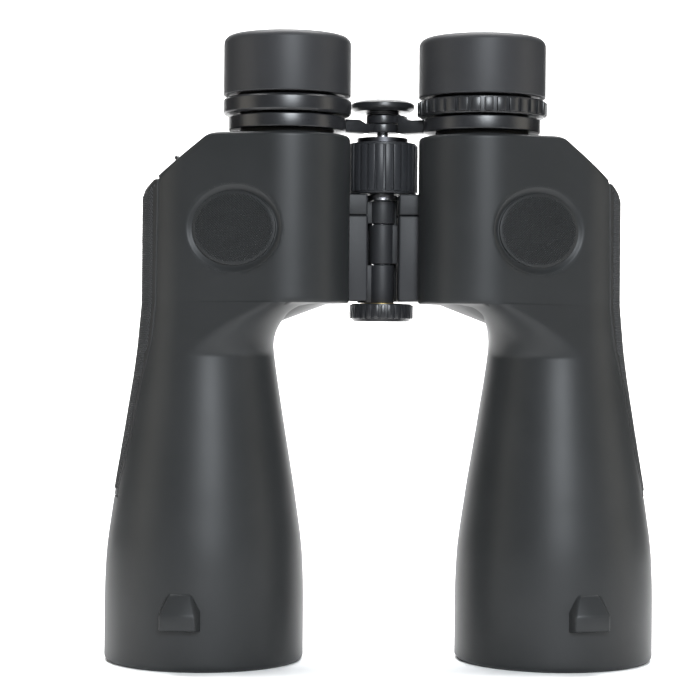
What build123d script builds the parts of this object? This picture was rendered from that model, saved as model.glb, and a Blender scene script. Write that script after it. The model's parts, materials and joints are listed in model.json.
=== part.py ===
from build123d import *
import math
import os

# Porro prism binoculars standing on the two objective rims, +Z towards the eyepieces.
# The underside, with the thumb rests, faces -Y. All sizes are in millimetres.

# Optical layout of one half, measured from the hinge axis
eye_x = 32.5                    # half of the 65 mm eyepiece spacing
objective_x = 59.0
eye_below_hinge = 12.0          # the eyepiece axis is this much nearer the underside
objective_below_hinge = 2.0
top_z = 208.0

# Objective barrel
rim_r = 33.35
barrel_profile = [(20.0, 33.35), (33.5, 32.95), (53.8, 30.5), (81.0, 26.15), (103.0, 22.9)]
hood_r = 30.5
hood_bottom = 10.8               # the bore for a cap ends on the glass retainer
glass_seat_r = 29.95
glass_seat_top = 24.0
glass_r = 29.4
retainer_r, retainer_thick = 28.2, 2.2
crown_z, flint_z = 15.8, 20.8
sleeve_top = 104.0               # the rubber is in two lengths: the barrel's and the housing's
neck_r = 17.6                    # where the barrel passes through the housing's floor
barrel_top = 126.0               # where the barrel ends inside the housing
rim_round = 1.8

# Prism housing
housing_bottom = 119.5
housing_top = 175.0
eye_side_r = 21.0
objective_side_r = 21.4
turn_side_r = 19.0              # round the place where the light turns between the prisms
fillet_r = 13.0                 # under the housing, down to the barrel
shoulder_x, shoulder_end_x = 57.9, 79.9
shoulder_end_z = 157.5
skin = 1.6                      # rubber armour
wall = 1.5                      # metal casting
hem = 2.4                       # how far the rubber wraps under the casting

# Cover tether tabs
tab_turn = 19.0                 # degrees outward from the underside
tab_r = 37.3
tab_half_width = 6.25
tab_bottom, tab_ridge, tab_top = 14.9, 20.3, 26.0

# Grip panels, set in flush
panel_depth = 1.2
pad_x, pad_z = 49.9, 143.6
pad_half_width, pad_half_height = 13.5, 12.0
side_panel_edge = [(74.6, 168), (75.2, 119), (76.4, 107), (80.0, 92), (84.6, 68), (87.5, 58.5)]
side_panel_corner = [(87.5, 58.5), (89.6, 54.9), (93.5, 54.6)]
side_panel_top = 158.5

# Strap lug of bent wire
lug_x, lug_behind_hinge = 68.0, 8.0
lug_half_span, lug_reach, lug_root = 5.0, 2.4, 1.4
lug_wire_r = 0.9

# Hinge, wheel and spindle
knuckle_r = 4.3
axle_r = 2.8
wheel_axle_r = 4.0
spindle_r, spindle_top = 1.9, 185.5
wheel_r = 12.0
wheel_bottom, wheel_top = 156.7, 173.8
hub_r, hub_top = 8.6, 175.6
cap_r, cap_low = 10.8, 183.5
run_gap = 0.05                  # radial clearance of every running fit
lug_bottom, lug_top = 120.5, 156.4
lug_inner_x, lug_front, lug_behind = 5.2, 9.0, 2.6
flange_reach, flange_low, flange_high = 3.0, 4.7, 6.2      # the lip that closes the gap behind the knuckles
knuckle_breaks = [119.9, 133.0, 146.6, 154.4]
knuckle_gap = 0.15              # up and down, either side of a break

# Bridge that carries both eyepieces on the spindle
bridge_low, bridge_high = 177.0, 181.3
bridge_break = 180.4            # the left knuckle lies below this height and the right one above
bridge_top = 183.3
bridge_half_width = 4.6
bridge_ring_r = 19.5
bridge_knuckle_r, bridge_clear_r = 5.6, 6.4

# Eyepieces
ocular_r = 15.45
ocular_bottom = 164.0
ocular_bore_r = 12.5
head_r, head_top = 16.5, 199.0
eye_lens_r, eye_lens_z = 11.0, 192.5
guide_wall = 2.15
cup_bottom = 188.1
cup_r, cup_lip_r, cup_seat_r = 21.15, 15.4, 19.3
cup_roof = 204.8
cam_r, cam_bottom, cam_top = 18.3, 188.4, 203.5
collar_r, collar_low, collar_high = 21.3, 181.7, 187.2

# Prisms, on a shelf between them
shelf_low, shelf_high = 142.0, 144.0
prism_half_depth = 9.0
prism_short = 0.6               # how far the prism's ends stand in from a whole step
prism_flat = 1.6                # ground off its roof edge
beam_r = 8.0

# Socket for a tripod adapter under its ribbed cover
socket_r, socket_bore_r, socket_low = 7.0, 2.6, 115.0
socket_neck_r, socket_top = 3.4, 128.0
cover_r, cover_low, cover_high = 10.8, 113.7, 119.7

# The hinge is set off +Y so that the middle of the whole depth is Y zero
turn = math.radians(tab_turn)
tab_depth = tab_r * math.cos(turn) + tab_half_width * math.sin(turn)
objective_y = (tab_depth - rim_r) / 2
hinge_y = objective_y + objective_below_hinge
eye_y = hinge_y - eye_below_hinge

eye = Vector(eye_x, eye_y, 0)
objective = Vector(objective_x, objective_y, 0)
offset = eye - objective
prism_step = offset.length / math.sqrt(2)       # how far each prism moves the light
prism_turn = math.degrees(math.atan2(offset.Y, offset.X)) - 45
light_turn = objective + Vector(prism_step, 0, 0).rotate(Axis.Z, prism_turn)


def tube(outer, inner, low, high, at=(0, 0)):
    """A straight ring about a vertical axis."""
    body = Cylinder(outer, high - low, align=(Align.CENTER, Align.CENTER, Align.MIN))
    if inner:
        body -= Cylinder(inner, high - low, align=(Align.CENTER, Align.CENTER, Align.MIN))
    return Pos(at[0], at[1], low) * body


def block(x, y, z):
    """A box from its (low, high) pairs."""
    size = (x[1] - x[0], y[1] - y[0], z[1] - z[0])
    return Pos(x[0], y[0], z[0]) * Box(*size, align=(Align.MIN, Align.MIN, Align.MIN))


def at_eye(shape):
    return Pos(eye.X, eye.Y, 0) * shape


def at_objective(shape):
    return Pos(objective.X, objective.Y, 0) * shape


def at_hinge(shape):
    return Pos(0, hinge_y, 0) * shape


def barrel_radius(z):
    """Outer radius of the barrel's skin at a height, by straight runs between the profile's points."""
    points = [(0.0, rim_r)] + barrel_profile + [(housing_bottom, objective_side_r)]
    for (z0, r0), (z1, r1) in zip(points, points[1:]):
        if z <= z1:
            return r0 + (r1 - r0) * (z - z0) / (z1 - z0)
    return objective_side_r


def section(z, inset, reach=1.0, radius=objective_side_r):
    """Outline round the objective, turning and eyepiece axes; reach draws the last two in."""
    turn_at = objective + (light_turn - objective) * reach
    eye_at = objective + (eye - objective) * reach
    turn_r = radius + (turn_side_r - radius) * reach
    eye_r = radius + (eye_side_r - radius) * reach
    rings = Pos(objective.X, objective.Y) * Circle(radius - inset)
    edges = list(rings.edges())
    edges += (Pos(turn_at.X, turn_at.Y) * Circle(turn_r - inset)).edges()
    edges += (Pos(eye_at.X, eye_at.Y) * Circle(eye_r - inset)).edges()
    return Pos(0, 0, z) * make_hull(edges)


def barrel_form(inset):
    """The barrel as a turned solid, its profile a smooth curve through the driving points."""
    points = [(r - inset, z) for z, r in barrel_profile]
    neck = (objective_side_r - inset, housing_bottom)
    curve = Spline([*points, neck], tangents=[(0, 1), (-0.06, 1)])
    edge = rim_r - inset
    foot = Line((0, 0), (edge - rim_round, 0))
    corner = RadiusArc((edge - rim_round, 0), (edge, rim_round), -rim_round)
    side = Line((edge, rim_round), points[0])
    close = Polyline(neck, (neck[0], barrel_top), (0, barrel_top), (0, 0))
    edges = [foot, corner, side, *curve.edges(), *close.edges()]
    profile = Plane.XZ * make_face(edges)
    return at_objective(revolve(profile, Axis.Z))


def underside_form(inset):
    """Hollow curve from the housing's flat bottom down to the barrel."""
    radius = fillet_r + inset
    foot = housing_bottom - fillet_r
    full_reach = radius / (objective_x - objective_side_r - eye_x + eye_side_r)
    faces = []
    for step in range(7):
        rise = 0.2 + 0.8 * math.sin(math.radians(15 * step))
        z = foot + radius * rise
        reach = full_reach * (1 - math.sqrt(max(0.0, 1 - rise * rise)))
        faces.append(section(z, inset, reach, barrel_radius(min(z, housing_bottom))))
    return loft(faces)


def shoulder_cut(inset):
    """Everything outside the sloping shoulder."""
    run = shoulder_end_x - shoulder_x
    drop = housing_top - shoulder_end_z
    length = math.hypot(run, drop)
    dx, dz = -inset * drop / length, -inset * run / length
    start = (shoulder_x - run + dx, housing_top + drop + dz)
    end = (shoulder_end_x + run + dx, shoulder_end_z - drop + dz)
    face = Plane.XZ * make_face(Polyline(start, end, (end[0], start[1]), start))
    return extrude(face, 60, both=True)


def body_form(inset):
    """Outer form of one half, drawn in everywhere by inset."""
    low, high = housing_bottom + inset, housing_top - inset
    housing = extrude(section(low, inset), high - low)
    form = housing + underside_form(inset) + barrel_form(inset)
    return form - shoulder_cut(inset)


def tether_tab():
    face = Polyline((-3.4, tab_top), (-tab_half_width, tab_ridge), (-tab_half_width, tab_bottom),
                    (tab_half_width, tab_bottom), (tab_half_width, tab_ridge), (3.4, tab_top), close=True)
    front = extrude(Plane.XZ * make_face(face), tab_r)
    side = Polyline((-tab_r, tab_bottom), (-tab_r, tab_ridge), (-rim_r, tab_top), (-30, tab_top),
                    (-30, tab_bottom), close=True)
    wedge = extrude(Plane.YZ * make_face(side), 10, both=True)
    return at_objective(Rot(0, 0, tab_turn) * (front & wedge))



def housing_web(low, high):
    """A hinge knuckle with the web that joins it to the housing."""
    knuckle = at_hinge(Cylinder(knuckle_r, high - low, align=(Align.CENTER, Align.CENTER, Align.MIN)))
    web = block((0, eye_x - 8), (hinge_y - lug_behind, hinge_y + lug_behind), (0, high - low))
    return Pos(0, 0, low) * (knuckle + web)


def lug_rail():
    """The strip beside the hinge, which carries the knuckles of one half."""
    depth = (hinge_y - lug_front, hinge_y + flange_high)
    rail = block((lug_inner_x, eye_x - 6), depth, (lug_bottom, lug_top))
    rail = chamfer(rail.edges().filter_by(Axis.Z).sort_by(Axis.X)[0:1], 0.8)
    lip_depth = (hinge_y + flange_low, hinge_y + flange_high)
    return rail + block((flange_reach, lug_inner_x + 1), lip_depth, (lug_bottom, lug_top))


def housing_block(inset, low, high):
    """The prism housing's outline between two heights, under its shoulder."""
    return extrude(section(low, inset), high - low) - shoulder_cut(inset)


def casting():
    """Prism housing: open above for its cover, with a hole below for the barrel's neck."""
    floor = housing_bottom + skin
    cover_seat = housing_top - skin - wall
    shell = housing_block(skin, floor, cover_seat)
    shell -= housing_block(skin + wall, floor + wall, cover_seat + 1)
    shell -= at_objective(tube(neck_r, 0, floor - 1, floor + wall + 1))
    return shell + (lug_rail() - housing_block(skin + wall, floor + wall, cover_seat))


def barrel():
    """Objective barrel with a flange under the housing's floor and a neck through it."""
    floor = housing_bottom + skin
    shell = barrel_form(skin) - barrel_form(skin + wall)
    shell &= at_objective(tube(rim_r, 0, hem, floor))
    shell += at_objective(tube(neck_r + 1.4, neck_r - wall, floor - 2, floor))
    shell += at_objective(tube(neck_r, neck_r - wall, floor - 2, floor + wall + 1))
    shell += at_objective(tube(hood_r + 0.6, glass_seat_r, hood_bottom, glass_seat_top))
    return shell - at_objective(tube(hood_r, 0, -1, hood_bottom))


def knuckled(shell, spans, bores):
    inside = housing_block(skin + wall, housing_bottom, housing_top)
    for low, high in spans:
        shell += housing_web(low, high) - inside
    for bore_r, low, high in bores:
        shell -= at_hinge(tube(bore_r, 0, low, high))
    return shell


def keep_clear(shell, spans):
    """Clears the other half's knuckles."""
    for low, high in spans:
        shell -= at_hinge(tube(knuckle_r + 0.5, 0, low, high))
    return shell


def rear_cover():
    """Plate that closes the housing, with the guide for the eyepiece."""
    low = housing_top - skin - wall
    plate = extrude(section(low, skin), wall)
    plate = plate - shoulder_cut(skin)
    guide = at_eye(tube(ocular_r + run_gap + guide_wall, 0, ocular_bottom, housing_top - 0.2))
    return plate + guide - at_eye(tube(ocular_r + run_gap, 0, ocular_bottom - 1, housing_top + 1))


def pad_region():
    """Where the thumb pad lies, from the middle of the body out through the underside."""
    face = Plane.XZ * (Pos(pad_x, pad_z) * Ellipse(pad_half_width, pad_half_height))
    return extrude(face, 60)


def side_region():
    """Where the side grip panel lies, in front view."""
    outline = Polyline(*side_panel_edge)
    rounded = ThreePointArc(*side_panel_corner)
    start, end = side_panel_edge[0], side_panel_corner[-1]
    rest = Polyline(end, (99, end[1]), (99, start[1]), start)
    face = Plane.XZ * make_face([*outline.edges(), *rounded.edges(), *rest.edges()])
    return extrude(face, 60, both=True) & block((0, 120), (-60, 60), (0, side_panel_top))


def near_skin(shape):
    return shape & block((0, 120), (-60, objective_y), (0, 220))


def prism(low_point, high_point, base_z, up):
    """Right-angle prism with its long face flat and its roof edge ground off."""
    across = high_point - low_point
    angle = math.degrees(math.atan2(across.Y, across.X))
    half = prism_step - prism_short
    height = half - prism_flat
    roof = prism_flat
    outline = Polyline((-half, 0), (half, 0), (roof, height), (-roof, height), close=True)
    solid = extrude(Plane.XZ * make_face(outline), prism_half_depth, both=True)
    if not up:
        solid = Rot(180, 0, 0) * solid
    centre = (low_point + high_point) / 2
    return Pos(centre.X, centre.Y, base_z) * Rot(0, 0, angle) * solid


def prism_shelf():
    plate = extrude(section(shelf_low, skin + wall), shelf_high - shelf_low)
    for beam in (objective, light_turn, eye):
        plate -= Pos(beam.X, beam.Y, shelf_low) * Cylinder(beam_r, 8)
    return plate


def prism_clip(low_point, high_point, base_z, up):
    """Spring strap over a prism's roof edge, with a leg down each side."""
    across = high_point - low_point
    angle = math.degrees(math.atan2(across.Y, across.X))
    height = prism_step - prism_short - prism_flat
    thick = 0.5
    edge = prism_half_depth + thick
    strap = block((-1, 1), (-edge, edge), (height, height + thick))
    for side in (-edge, prism_half_depth):
        strap += block((-1, 1), (side, side + thick), (0, height + thick))
    if not up:
        strap = Rot(180, 0, 0) * strap
    centre = (low_point + high_point) / 2
    return Pos(centre.X, centre.Y, base_z) * Rot(0, 0, angle) * strap


def cap_of_sphere(radius, rise):
    """The top of a ball, its flat face of the given radius on Z zero."""
    ball_r = (radius ** 2 + rise ** 2) / (2 * rise)
    above = block((-radius - 1, radius + 1), (-radius - 1, radius + 1), (0, rise + 1))
    return (Pos(0, 0, rise - ball_r) * Sphere(ball_r)) & above


def lens(radius, rim, front, back):
    """Round glass on +Z: rim thickness, then the rise of the front and back faces."""
    glass = tube(radius, 0, 0, rim) + Pos(0, 0, rim) * cap_of_sphere(radius, back)
    if front:
        glass += Rot(180, 0, 0) * cap_of_sphere(radius, front)
    return glass


def ocular_barrel():
    body = tube(ocular_r, ocular_bore_r, ocular_bottom, cup_bottom)
    head = tube(head_r, ocular_bore_r, cup_bottom, head_top)
    seat = tube(ocular_bore_r + 0.1, eye_lens_r, eye_lens_z - 1.0, eye_lens_z + 3.5)
    head = chamfer(head.edges().sort_by(Axis.Z)[-1:], 0.6)
    return at_eye(body + head + seat)


def ridged(outer_r, inner_r, low, high, count, depth, land):
    """Ring with long ridges: count of them, their depth, and how much of the pitch they fill."""
    ring = tube(outer_r - depth, inner_r, low, high)
    width = 2 * math.pi * outer_r / count * land
    ridge = block((inner_r + 0.6, outer_r), (-width / 2, width / 2), (low + 0.5, high - 0.5))
    return ring + [Rot(0, 0, 360 * i / count) * ridge for i in range(count)]


def bridge_arm(low_knuckle):
    """Ring round the eyepiece, arm to the spindle, and this half's knuckle."""
    ring = tube(bridge_ring_r, 0, bridge_low - 0.4, bridge_high - 0.3, (eye.X, eye.Y))
    reach = Vector(0, hinge_y, 0) - eye
    angle = math.degrees(math.atan2(reach.Y, reach.X))
    place = Pos(eye.X, eye.Y, 0) * Rot(0, 0, angle)
    width = (-bridge_half_width, bridge_half_width)
    web = place * block((10, reach.length), width, (bridge_low, bridge_high))
    if low_knuckle:
        span, other = (bridge_low + 0.4, bridge_break - 0.1), (bridge_break, top_z)
        bore = spindle_r
    else:
        web += place * block((reach.length - 8, reach.length), width, (bridge_low, bridge_top))
        span, other = (bridge_break + 0.1, bridge_top), (bridge_low - 5, bridge_break)
        bore = spindle_r + run_gap
    body = ring + web + at_hinge(tube(bridge_knuckle_r, 0, *span))
    body -= at_hinge(tube(bridge_clear_r, 0, *other))
    body -= at_eye(tube(ocular_r + run_gap, 0, bridge_low - 5, top_z))
    return body - at_hinge(tube(bore, 0, bridge_low - 5, top_z))


def spindle_cap():
    disc = tube(cap_r, 0, cap_low + 1.0, cap_low + 5.2)
    disc = fillet(disc.edges().sort_by(Axis.Z)[-1:], 1.8)
    disc = fillet(disc.edges().sort_by(Axis.Z)[0:1], 0.6)
    disc += tube(bridge_knuckle_r, 0, cap_low, cap_low + 2.0)
    return at_hinge(disc - tube(spindle_r, 0, cap_low - 1, spindle_top))


def strap_lug():
    """Wire staple on the far part of the shoulder."""
    slope = math.degrees(math.atan2(housing_top - shoulder_end_z, shoulder_end_x - shoulder_x))
    rise = housing_top - (lug_x - shoulder_x) * math.tan(math.radians(slope))
    start, end = (0, -lug_half_span, -lug_root), (0, lug_half_span, -lug_root)
    path = FilletPolyline(start, (0, -lug_half_span, lug_reach), (0, lug_half_span, lug_reach), end, radius=1.6)
    staple = sweep(Plane(start, z_dir=(0, 0, 1)) * Circle(lug_wire_r), path=path)
    return Pos(lug_x, hinge_y + lug_behind_hinge, rise) * (Rot(0, slope, 0) * staple)


outer = body_form(0)
under_panels = body_form(panel_depth)
core = housing_block(skin, housing_bottom + skin, housing_top - skin) + barrel_form(skin)
core &= block((0, 120), (-60, 60), (0, housing_top - skin))

tab = tether_tab() - at_objective(tube(rim_r - 0.8, 0, 0, 40))
mouth = at_objective(tube(hood_r, 0, -1, hood_bottom + 2))
guide_hole = at_eye(tube(ocular_r + run_gap + guide_wall, 0, 150, 190))
side_panel = (outer - under_panels) & side_region()
thumb_pad = (near_skin(outer) - under_panels) & pad_region()
lug = strap_lug()
skin_shape = outer - core + tab - mouth - guide_hole - (side_region() - under_panels)
skin_shape -= pad_region() - under_panels
skin_shape -= lug_rail()
skin_shape -= block((0, eye_x - 8), (hinge_y - lug_behind, hinge_y + lug_behind),
                    (knuckle_breaks[0], knuckle_breaks[-1]))
skin_shape -= lug
skin_shape += outer & at_objective(tube(rim_r + 1, hood_r, 0, hem))
barrel_sleeve = skin_shape & block((0, 120), (-60, 60), (0, sleeve_top))
housing_armour = skin_shape & block((0, 120), (-60, 60), (sleeve_top, 220))

first, second, third, last = knuckle_breaks
left_spans = [(first, second - knuckle_gap), (third + knuckle_gap, last)]
right_spans = [(second + knuckle_gap, third - knuckle_gap)]
shell = casting() - lug
left_casting = knuckled(keep_clear(shell, right_spans), left_spans,
                        [(socket_neck_r, 119, socket_top), (axle_r, 119, 160)])
right_casting = knuckled(keep_clear(shell, left_spans), right_spans, [(axle_r + run_gap, 119, 160)])


def both(name, shape):
    """The same piece for each half."""
    export("right_" + name, shape)
    export("left_" + name, mirror(shape, about=Plane.YZ))


def export(name, shape):
    export_step(shape, "parts/" + name + ".step")


os.makedirs("parts", exist_ok=True)
both("armour", housing_armour)
both("barrel_sleeve", barrel_sleeve)
both("grip_panel", side_panel)
both("thumb_pad", thumb_pad)
both("strap_lug", lug)
both("barrel", barrel())
both("rear_cover", rear_cover())
both("prism_shelf", prism_shelf())
both("upper_prism", prism(objective, light_turn, shelf_high, True))
both("lower_prism", prism(light_turn, eye, shelf_low, False))
clips = prism_clip(objective, light_turn, shelf_high, True)
clips += prism_clip(light_turn, eye, shelf_low, False)
both("prism_clips", clips)
both("objective_crown", at_objective(Pos(0, 0, crown_z) * lens(glass_r, 3.0, 2.4, 1.4)))
both("objective_flint", at_objective(Pos(0, 0, flint_z) * lens(glass_r, 2.2, 0, 0.8)))
retainer_top = hood_bottom + retainer_thick
both("objective_cell", at_objective(tube(glass_seat_r, glass_r, retainer_top, glass_seat_top)))
both("objective_ring", at_objective(tube(glass_seat_r, retainer_r, hood_bottom, retainer_top)))
both("ocular_barrel", ocular_barrel())
both("field_lens", at_eye(Pos(0, 0, 168) * lens(ocular_bore_r, 3.0, 1.5, 1.5)))
both("eye_lens", at_eye(Pos(0, 0, eye_lens_z) * lens(eye_lens_r, 2.5, 1.0, 1.6)))
both("cup_cam", at_eye(tube(cam_r, head_r + run_gap, cam_bottom, cam_top)))
both("cup_sleeve", at_eye(tube(cup_seat_r, cam_r + run_gap, cam_bottom, cup_roof)))


def rubber_cup():
    cup = tube(cup_r, cup_lip_r, cup_bottom, top_z) - tube(cup_seat_r, 0, cup_bottom - 1, cup_roof)
    cup = fillet(cup.edges().filter_by(GeomType.CIRCLE).group_by(Axis.Z)[-1].sort_by(SortBy.RADIUS)[-1:], 2.8)
    return at_eye(cup)


both("eyecup", rubber_cup())
export("left_casting", mirror(left_casting, about=Plane.YZ))
export("right_casting", right_casting)
collar = tube(collar_r, ocular_r, collar_low, collar_high)
dioptre_ring = ridged(collar_r + 0.3, ocular_r + run_gap, collar_low, collar_high, 32, 0.8, 0.55)
export("left_collar", mirror(at_eye(collar), about=Plane.YZ))
export("right_dioptre_ring", at_eye(dioptre_ring))
export("left_bridge_arm", mirror(bridge_arm(True), about=Plane.YZ))
export("right_bridge_arm", bridge_arm(False))
export("focus_spindle", at_hinge(tube(spindle_r, 0, 150.0, spindle_top)))
export("spindle_cap", spindle_cap())
axle = tube(axle_r, 0, 128.0, 155.0) + tube(5.0, 0, 154.7, lug_top) + tube(wheel_axle_r, 0, lug_top, 176.0)
export("hinge_axle", at_hinge(axle - tube(spindle_r + run_gap, 0, 144.0, 177.0)))
clip_low = hub_top - 0.8
hub = tube(hub_r, wheel_axle_r + run_gap, wheel_bottom + 0.2, hub_top)
export("wheel_hub", at_hinge(hub - tube(6.2, 0, clip_low - 0.3, hub_top + 1)))
export("wheel_grip", at_hinge(ridged(wheel_r, hub_r, wheel_bottom, wheel_top, 26, 0.7, 0.75)))
export("wheel_clip", at_hinge(tube(5.8, wheel_axle_r, clip_low, hub_top - 0.1)))
socket = tube(socket_r, socket_bore_r, socket_low, knuckle_breaks[0])
socket += tube(socket_neck_r, socket_bore_r, knuckle_breaks[0], socket_top)
export("tripod_socket", at_hinge(socket))
cover = ridged(cover_r, socket_r + 0.3, cover_low, cover_high, 24, 0.6, 0.6)
cover += tube(cover_r - 0.8, 0, cover_low, cover_low + 1.0)
cover += tube(socket_bore_r - 0.2, 0, cover_low + 1.0, socket_low + 6.0)
export("tripod_cap", at_hinge(cover))
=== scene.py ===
import json
import math
import bmesh
import bpy
import numpy as np
from mathutils import Matrix, Vector


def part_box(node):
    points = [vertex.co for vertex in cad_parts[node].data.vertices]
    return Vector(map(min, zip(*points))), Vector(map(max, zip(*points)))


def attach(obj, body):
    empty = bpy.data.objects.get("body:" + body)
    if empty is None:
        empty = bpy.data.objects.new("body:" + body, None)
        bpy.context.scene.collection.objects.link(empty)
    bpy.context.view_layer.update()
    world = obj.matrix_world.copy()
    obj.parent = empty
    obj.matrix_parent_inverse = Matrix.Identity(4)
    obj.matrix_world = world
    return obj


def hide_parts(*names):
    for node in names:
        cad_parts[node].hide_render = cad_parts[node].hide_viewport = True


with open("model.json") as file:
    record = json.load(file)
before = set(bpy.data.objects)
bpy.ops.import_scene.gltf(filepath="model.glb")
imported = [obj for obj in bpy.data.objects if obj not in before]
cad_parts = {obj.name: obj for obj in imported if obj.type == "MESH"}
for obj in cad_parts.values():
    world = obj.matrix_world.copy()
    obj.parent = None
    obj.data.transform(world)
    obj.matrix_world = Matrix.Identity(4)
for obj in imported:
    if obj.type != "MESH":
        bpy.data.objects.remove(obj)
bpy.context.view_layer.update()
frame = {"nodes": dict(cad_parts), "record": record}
mm = 0.001
print("frame loaded:", len(frame["nodes"]), "nodes")

# places, all in mm


def lowHigh(node):
    low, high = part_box(node)
    return Vector(low) / mm, Vector(high) / mm


def middle(node):
    low, high = lowHigh(node)
    return (low + high) / 2


def floorOf(node):
    return lowHigh(node)[0].z


def topOf(node):
    return lowHigh(node)[1].z


# every shape is drawn for the right half, and mirrored in X for the left
eye = middle("right_eyecup")
objective = middle("right_objective_ring")
hinge = middle("wheel_grip")
# where the light steps across between the prisms
lightTurn = 2 * middle("right_upper_prism") - objective
sides = {"left": -1, "right": 1}
poleR = 0.02        # radius of the small flat that closes a turned shape on its axis

# shapes as (points, faces)


def merged(*shapes):
    points, faces = [], []
    for shapePoints, shapeFaces in shapes:
        base = len(points)
        points.extend(tuple(p) for p in shapePoints)
        faces.extend(tuple(i + base for i in f) for f in shapeFaces)
    return points, faces


def rounded(corners, radii, steps=5):
    # a closed outline with its corners turned into arcs
    out = []
    count = len(corners)
    for i, radius in enumerate(radii):
        here = Vector(corners[i])
        before = Vector(corners[i - 1]) - here
        after = Vector(corners[(i + 1) % count]) - here
        if radius <= 0:
            out.append(tuple(here))
            continue
        a, b = before.normalized(), after.normalized()
        half = a.angle(b) / 2
        reach = min(radius / math.tan(half), 0.49 * before.length, 0.49 * after.length)
        radius = reach * math.tan(half)
        centre = here + (a + b).normalized() * (radius / math.sin(half))
        start, end = here + a * reach - centre, here + b * reach - centre
        for k in range(steps + 1):
            t = k / steps
            spoke = start.normalized().slerp(end.normalized(), t)
            out.append(tuple(centre + spoke * radius))
    return out


def turned(outline, at, steps=112):
    # a closed (radius, height) outline turned about a vertical axis
    count = len(outline)
    points = []
    for s in range(steps):
        angle = 2 * math.pi * s / steps
        points += [(at.x + r * math.cos(angle), at.y + r * math.sin(angle), z) for r, z in outline]
    faces = []
    for s in range(steps):
        near, far = s * count, (s + 1) % steps * count
        faces += [(near + i, far + i, far + (i + 1) % count, near + (i + 1) % count) for i in range(count)]
    return points, faces


def ring(outer, inner, low, high, at, radius=0.4, steps=112):
    corners = [(inner, low), (outer, low), (outer, high), (inner, high)]
    return turned(rounded(corners, [0.15, radius, radius, 0.15]), at, steps)


def disc(outer, low, high, at, radius=0.4, dome=0.0):
    # a closed round plate, its top raised by dome
    corners = [(poleR, low), (outer, low), (outer, high), (poleR, high + dome)]
    return turned(rounded(corners, [0, radius, radius, 0], 6), at)


def fromBmesh(mesh):
    mesh.verts.ensure_lookup_table()
    points = [tuple(v.co) for v in mesh.verts]
    faces = [tuple(v.index for v in f.verts) for f in mesh.faces]
    mesh.free()
    return points, faces


def softBlock(low, high, radius=0.4, segments=3):
    mesh = bmesh.new()
    bmesh.ops.create_cube(mesh, size=1.0)
    size, centre = Vector(high) - Vector(low), (Vector(high) + Vector(low)) / 2
    for v in mesh.verts:
        v.co = Vector((v.co.x * size.x, v.co.y * size.y, v.co.z * size.z)) + centre
    bmesh.ops.bevel(mesh, geom=mesh.edges[:], offset=radius, segments=segments, profile=0.5, affect="EDGES")
    return fromBmesh(mesh)


def softHull(corners, radius=0.5, segments=3):
    mesh = bmesh.new()
    for corner in corners:
        mesh.verts.new(corner)
    bmesh.ops.convex_hull(mesh, input=mesh.verts[:])
    bmesh.ops.dissolve_limit(mesh, angle_limit=math.radians(3), verts=mesh.verts[:], edges=mesh.edges[:])
    bmesh.ops.bevel(mesh, geom=mesh.edges[:], offset=radius, segments=segments, profile=0.5, affect="EDGES",
                    clamp_overlap=True)
    return fromBmesh(mesh)


def moved(shape, matrix):
    return [tuple(matrix @ Vector(p)) for p in shape[0]], shape[1]


def meshObject(name, shape, material, sign=1, sharp=38.0):
    mesh = bpy.data.meshes.new(name)
    mesh.from_pydata([(x * mm * sign, y * mm, z * mm) for x, y, z in shape[0]], [], shape[1])
    work = bmesh.new()
    work.from_mesh(mesh)
    bmesh.ops.remove_doubles(work, verts=work.verts[:], dist=2e-6)
    bmesh.ops.dissolve_degenerate(work, edges=work.edges[:], dist=1e-6)
    bmesh.ops.recalc_face_normals(work, faces=work.faces[:])
    work.to_mesh(mesh)
    work.free()
    mesh.shade_smooth()
    mesh.set_sharp_from_angle(angle=math.radians(sharp))
    mesh.materials.append(material)
    piece = bpy.data.objects.new(name, mesh)
    bpy.context.scene.collection.objects.link(piece)
    return piece


def addPiece(name, shape, slot, body, replaces, sign=1, finish=None):
    # a piece that takes over from CAD nodes, in its slot's finish unless another is given
    piece = meshObject(name, shape, finishes[finish or slot], sign)
    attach(piece, body)
    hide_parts(*replaces)


# finishes


class Wire:
    # one shader socket that can be used in plain arithmetic
    def __init__(self, tree, socket):
        self.tree, self.socket = tree, socket

    def mathWith(self, operation, other, swapped=False):
        node = self.tree.nodes.new("ShaderNodeMath")
        node.operation = operation
        pair = (other, self) if swapped else (self, other)
        for socket, value in zip(node.inputs, pair):
            plug(self.tree, socket, value)
        return Wire(self.tree, node.outputs[0])

    def __add__(self, other):
        return self.mathWith("ADD", other)

    __radd__ = __add__

    def __mul__(self, other):
        return self.mathWith("MULTIPLY", other)

    __rmul__ = __mul__

    def __sub__(self, other):
        return self.mathWith("SUBTRACT", other)

    def __rsub__(self, other):
        return self.mathWith("SUBTRACT", other, True)


def plug(tree, socket, value):
    if isinstance(value, Wire):
        tree.links.new(value.socket, socket)
    else:
        socket.default_value = value


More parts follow.
